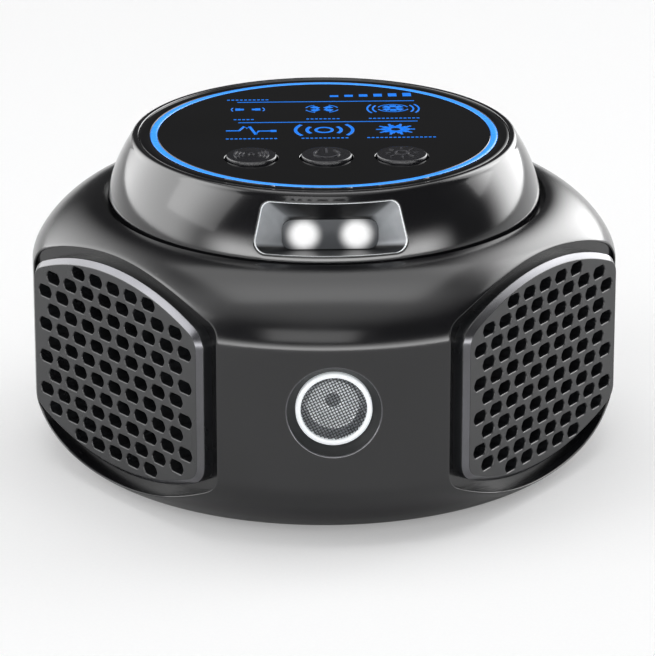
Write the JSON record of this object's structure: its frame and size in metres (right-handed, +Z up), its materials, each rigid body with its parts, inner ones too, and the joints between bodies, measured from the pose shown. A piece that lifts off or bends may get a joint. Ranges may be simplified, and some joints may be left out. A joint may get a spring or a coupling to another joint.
{
  "type": "ultrasonic pest repeller",
  "caption": "Squat round ultrasonic pest repeller: domed housing with slotted horn panels, small front transducer, lamp in the crown and a push-button display disc.",
  "frame": {"origin": "on the table, under the middle of the round housing", "axes": "+Z up through the display, the lamp and the front transducer face -Y"},
  "size_m": [0.1476, 0.1476, 0.083],
  "materials": {
    "housing_black": "moulded ABS, black, satin to gloss",
    "crown_black": "moulded ABS, black, satin to gloss",
    "grille_black": "moulded ABS, black, satin",
    "base_black": "moulded ABS, black, fine texture",
    "panel_black": "polished acrylic, back printed black",
    "ring_blue": "acrylic light guide, lit blue",
    "button_black": "moulded ABS, black, satin",
    "carrier_white": "moulded ABS, light grey",
    "board_green": "glass-epoxy board with solder mask",
    "chip_black": "epoxy chip package",
    "part_ivory": "moulded nylon",
    "led_white": "white LED package",
    "reflector_grey": "moulded and silvered reflector",
    "lens_clear": "clear polycarbonate",
    "ring_silver": "plated bright ring",
    "mesh_steel": "woven wire cloth",
    "can_alu": "drawn aluminium",
    "seal_rubber": "moulded rubber",
    "horn_grey": "moulded ABS, dark grey",
    "driver_steel": "pressed steel can",
    "lead_red": "PVC insulated wire",
    "lead_grey": "flat flexible cable",
    "winding_amber": "taped copper winding",
    "capacitor_blue": "PVC sleeved aluminium can",
    "pin_brass": "plated brass",
    "screw_zinc": "zinc plated steel"
  },
  "bodies": {
    "root": {"body_shell": "housing_black", "base_plate": "base_black", "crown": "crown_black", "trim_ring": "panel_black", "light_ring": "ring_blue", "display_lens": "panel_black", "display_carrier": "carrier_white", "display_board": "board_green", "switch_cases": "part_ivory", "ring_leds": "led_white", "icon_leds": "led_white", "controller_chip": "chip_black", "lamp_reflector": "reflector_grey", "lamp_lens": "lens_clear", "lamp_leds": "led_white", "lamp_board": "part_ivory", "transducer_ring": "ring_silver", "transducer_mesh": "mesh_steel", "transducer_cone": "can_alu", "transducer_can": "can_alu", "transducer_sleeve": "seal_rubber", "transducer_lead": "lead_red", "grille_front_left": "grille_black", "grille_front_right": "grille_black", "grille_rear_left": "grille_black", "grille_rear_right": "grille_black", "horn_front_left": "horn_grey", "horn_front_right": "horn_grey", "horn_rear_left": "horn_grey", "horn_rear_right": "horn_grey", "driver_front_left": "driver_steel", "driver_front_right": "driver_steel", "driver_rear_left": "driver_steel", "driver_rear_right": "driver_steel", "speaker_leads": "lead_red", "main_board": "board_green", "transformer": "winding_amber", "capacitors": "capacitor_blue", "driver_chips": "chip_black", "board_connectors": "part_ivory", "ribbon_cable": "lead_grey", "dc_jack": "base_black", "dc_jack_pin": "pin_brass", "rubber_feet": "seal_rubber", "base_screws": "screw_zinc", "board_screws": "screw_zinc", "crown_screws": "screw_zinc", "display_screws": "screw_zinc"},
    "button_sound": {"button_sound": "button_black"},
    "button_power": {"button_power": "button_black"},
    "button_light": {"button_light": "button_black"}
  },
  "joints": [
    {"name": "press_sound", "type": "slide", "parent": "root", "child": "button_sound", "axis": [0, 0, -1], "range_m": [0, 0.0008], "stiffness_N_per_m": 800},
    {"name": "press_power", "type": "slide", "parent": "root", "child": "button_power", "axis": [0, 0, -1], "range_m": [0, 0.0008], "stiffness_N_per_m": 800},
    {"name": "press_light", "type": "slide", "parent": "root", "child": "button_light", "axis": [0, 0, -1], "range_m": [0, 0.0008], "stiffness_N_per_m": 800}
  ]
}
